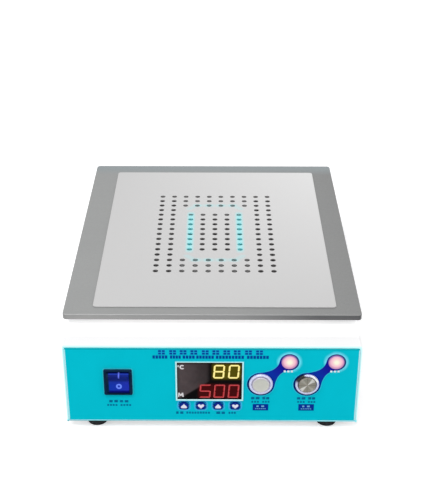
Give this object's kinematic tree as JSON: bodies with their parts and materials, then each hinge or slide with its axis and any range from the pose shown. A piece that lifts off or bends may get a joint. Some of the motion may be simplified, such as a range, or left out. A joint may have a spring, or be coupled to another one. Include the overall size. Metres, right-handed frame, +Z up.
{
  "type": "heated vacuum screen separator",
  "caption": "Benchtop heated suction platform with a perforated mat on a louvred sheet-metal case and a control panel, for parting display glass from its frame.",
  "frame": {"origin": "centre of the bounding box at the underside of the feet", "axes": "+Z up, the control panel faces -Y, +Y runs towards the mains inlet, +X to the right of the panel"},
  "size_m": [0.28, 0.3802, 0.1062],
  "materials": {
    "white_coat": "satin white powder coat",
    "teal_panel": "satin turquoise overlay",
    "plate_aluminium": "bead blasted",
    "mat_silicone": "matt pale grey silicone",
    "heater_silicone": "matt orange silicone",
    "fibre": "fibrous board",
    "bakelite": "moulded phenolic",
    "foot_rubber": "matt black",
    "zinc_steel": "zinc plated",
    "nickel": "bright nickel plate",
    "black_plastic": "fine satin",
    "blue_plastic": "glossy blue",
    "navy_plastic": "satin navy",
    "smoked_window": "polished smoked acrylic",
    "pale_bezel": "satin pale cyan",
    "lamp_lens": "lit pink lens",
    "circuit_board": "green solder mask",
    "ribbon": "flat cable jacket",
    "hose": "translucent silicone hose"
  },
  "bodies": {
    "root": {"base_tray": "white_coat", "control_board": "circuit_board", "cover_screw_1": "zinc_steel", "cover_screw_2": "zinc_steel", "cover_screw_3": "zinc_steel", "cover_screw_4": "zinc_steel", "display_bezel": "pale_bezel", "display_board": "circuit_board", "display_ribbon": "ribbon", "display_window": "smoked_window", "foot_1": "foot_rubber", "foot_2": "foot_rubber", "foot_3": "foot_rubber", "foot_4": "foot_rubber", "foot_screw_1": "zinc_steel", "foot_screw_2": "zinc_steel", "foot_screw_3": "zinc_steel", "foot_screw_4": "zinc_steel", "front_panel": "teal_panel", "heat_button_body": "nickel", "heat_button_nut": "nickel", "heat_lamp": "lamp_lens", "heat_sink": "plate_aluminium", "heater_mat": "heater_silicone", "heating_plate": "plate_aluminium", "insulation_board": "fibre", "mains_inlet": "black_plastic", "plate_screw_1": "zinc_steel", "plate_screw_2": "zinc_steel", "plate_screw_3": "zinc_steel", "plate_screw_4": "zinc_steel", "plate_spacer_1": "bakelite", "plate_spacer_2": "bakelite", "plate_spacer_3": "bakelite", "plate_spacer_4": "bakelite", "power_supply": "zinc_steel", "power_switch_body": "black_plastic", "pump_cradle": "foot_rubber", "pump_head": "black_plastic", "pump_motor": "zinc_steel", "suction_mat": "mat_silicone", "supply_terminals": "black_plastic", "temperature_display": "black_plastic", "temperature_sensor": "zinc_steel", "thermal_cutout": "bakelite", "time_display": "black_plastic", "top_cover": "white_coat", "vacuum_button_body": "nickel", "vacuum_button_nut": "nickel", "vacuum_hose": "hose", "vacuum_lamp": "lamp_lens", "vacuum_manifold": "black_plastic"},
    "rocker": {"power_rocker": "blue_plastic"},
    "heat_cap": {"heat_button_cap": "nickel"},
    "vacuum_cap": {"vacuum_button_cap": "nickel"},
    "temperature_up": {"temperature_up_key": "navy_plastic"},
    "temperature_down": {"temperature_down_key": "navy_plastic"},
    "time_up": {"time_up_key": "navy_plastic"},
    "time_down": {"time_down_key": "navy_plastic"},
    "fuse_holder": {"fuse_drawer": "black_plastic"}
  },
  "joints": [
    {"name": "rocker_tilt", "type": "hinge", "parent": "root", "child": "rocker", "pos_m": [-0.0868, -0.18241, 0.0545], "axis": [-1, 0, 0], "range_deg": [0, 20]},
    {"name": "heat_cap_press", "type": "slide", "parent": "root", "child": "heat_cap", "axis": [0, 1, 0], "range_m": [0, 0.0015], "stiffness_N_per_m": 600, "springref_m": -0.003},
    {"name": "vacuum_cap_press", "type": "slide", "parent": "root", "child": "vacuum_cap", "axis": [0, 1, 0], "range_m": [0, 0.0015], "stiffness_N_per_m": 600, "springref_m": -0.003},
    {"name": "temperature_up_press", "type": "slide", "parent": "root", "child": "temperature_up", "axis": [0, 1, 0], "range_m": [0, 0.0006], "stiffness_N_per_m": 500, "springref_m": -0.001},
    {"name": "temperature_down_press", "type": "slide", "parent": "root", "child": "temperature_down", "axis": [0, 1, 0], "range_m": [0, 0.0006], "stiffness_N_per_m": 500, "springref_m": -0.001},
    {"name": "time_up_press", "type": "slide", "parent": "root", "child": "time_up", "axis": [0, 1, 0], "range_m": [0, 0.0006], "stiffness_N_per_m": 500, "springref_m": -0.001},
    {"name": "time_down_press", "type": "slide", "parent": "root", "child": "time_down", "axis": [0, 1, 0], "range_m": [0, 0.0006], "stiffness_N_per_m": 500, "springref_m": -0.001},
    {"name": "fuse_drawer_pull", "type": "slide", "parent": "root", "child": "fuse_holder", "axis": [0, 1, 0], "range_m": [0, 0.018]}
  ]
}
